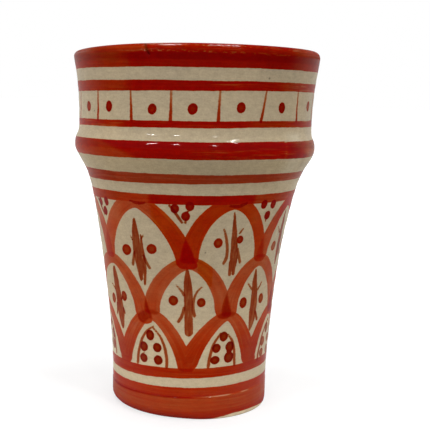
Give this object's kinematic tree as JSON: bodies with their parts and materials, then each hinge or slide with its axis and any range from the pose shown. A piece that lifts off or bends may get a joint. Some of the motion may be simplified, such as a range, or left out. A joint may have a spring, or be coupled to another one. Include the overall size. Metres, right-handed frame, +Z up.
{
  "type": "ceramic beaker",
  "caption": "Handleless wheel-thrown ceramic beaker with a flaring body, a raised shoulder ring, a waisted neck and painted bands, for drinks.",
  "frame": {"origin": "centre of the foot ring, on the plane the beaker stands on", "axes": "+Z up along the axis of the beaker, from the foot to the lip; the side shown in the picture faces -Y"},
  "size_m": [0.0828, 0.0828, 0.1201],
  "materials": {
    "clay": "bare fired earthenware",
    "cream_glaze": "glossy cream glaze",
    "red_paint": "glossy brushed orange-red colour"
  },
  "bodies": {
    "root": {"clay_body": "clay", "inside_glaze": "cream_glaze", "outside_glaze": "cream_glaze", "lip_band": "red_paint", "neck_upper_line": "red_paint", "neck_lower_line": "red_paint", "shoulder_band": "red_paint", "cone_line": "red_paint", "body_upper_line": "red_paint", "body_lower_line": "red_paint", "foot_band": "red_paint"}
  },
  "joints": []
}
